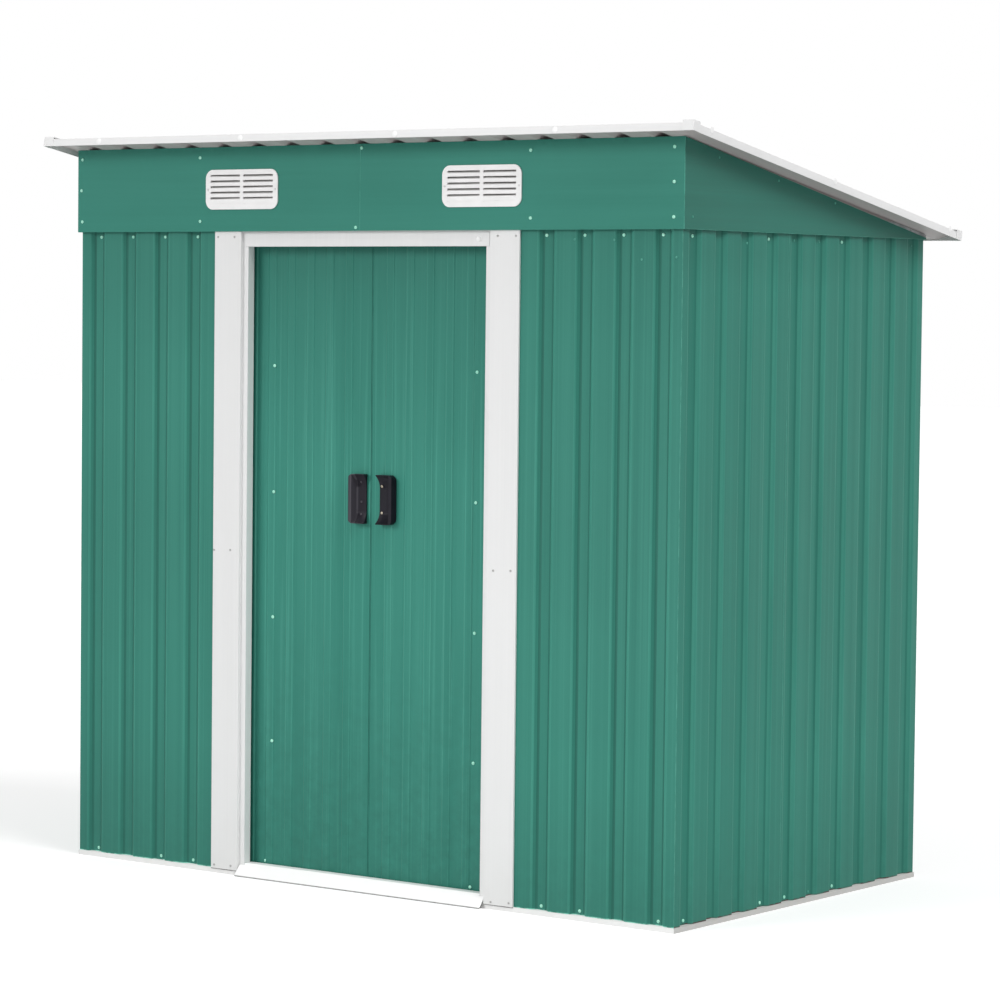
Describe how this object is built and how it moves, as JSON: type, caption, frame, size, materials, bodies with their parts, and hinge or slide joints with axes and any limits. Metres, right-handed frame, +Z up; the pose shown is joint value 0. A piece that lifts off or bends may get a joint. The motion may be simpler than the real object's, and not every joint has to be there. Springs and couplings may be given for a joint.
{
  "type": "metal storage shed",
  "caption": "Corrugated steel garden shed with a pent roof, pale trims, louvred vents and sliding double doors with dark handles.",
  "frame": {"origin": "on the ground under the middle of the roof's outline", "axes": "+X to the right along the front as seen from outside, +Y from the doors to the back wall, +Z up"},
  "size_m": [1.9502, 1.1993, 1.8096],
  "materials": {
    "green_sheet": "satin",
    "white_trim": "satin",
    "roof_sheet": "satin",
    "plain_steel": "satin",
    "white_plastic": "satin",
    "black_plastic": "satin"
  },
  "bodies": {
    "shed": {"back_wall_left": "green_sheet", "back_wall_right": "green_sheet", "base_rail_back": "white_trim", "base_rail_front_left": "white_trim", "base_rail_front_right": "white_trim", "base_rail_left": "white_trim", "base_rail_right": "white_trim", "bottom_track": "plain_steel", "door_header": "white_trim", "door_jamb_left": "white_trim", "door_jamb_right": "white_trim", "door_sill": "white_trim", "fascia_front_left": "green_sheet", "fascia_front_right": "green_sheet", "front_wall_left": "green_sheet", "front_wall_right": "green_sheet", "gable_left": "green_sheet", "gable_rail_left": "plain_steel", "gable_rail_right": "plain_steel", "gable_right": "green_sheet", "roof_beam": "plain_steel", "roof_corner_caps": "white_plastic", "roof_rail_front": "plain_steel", "roof_sheet_left": "roof_sheet", "roof_sheet_middle": "roof_sheet", "roof_sheet_right": "roof_sheet", "roof_trim_back": "white_trim", "roof_trim_front": "white_trim", "roof_trim_left": "white_trim", "roof_trim_right": "white_trim", "side_wall_left_front": "green_sheet", "side_wall_left_rear": "green_sheet", "side_wall_right_front": "green_sheet", "side_wall_right_rear": "green_sheet", "top_rail_back": "plain_steel", "top_rail_front": "plain_steel", "top_rail_left": "plain_steel", "top_rail_right": "plain_steel", "top_track": "plain_steel", "vent_left": "white_plastic", "vent_right": "white_plastic"},
    "left_door": {"door_brace_left": "plain_steel", "door_handle_left": "black_plastic", "door_lap_strip": "green_sheet", "door_leaf_left": "green_sheet", "door_runners_left": "black_plastic"},
    "right_door": {"door_brace_right": "plain_steel", "door_handle_right": "black_plastic", "door_leaf_right": "green_sheet", "door_runners_right": "black_plastic"}
  },
  "joints": [
    {"name": "left_door_slide", "type": "slide", "parent": "shed", "child": "left_door", "axis": [-1, 0, 0], "range_m": [0, 0.275]},
    {"name": "right_door_slide", "type": "slide", "parent": "shed", "child": "right_door", "axis": [1, 0, 0], "range_m": [0, 0.275]}
  ]
}
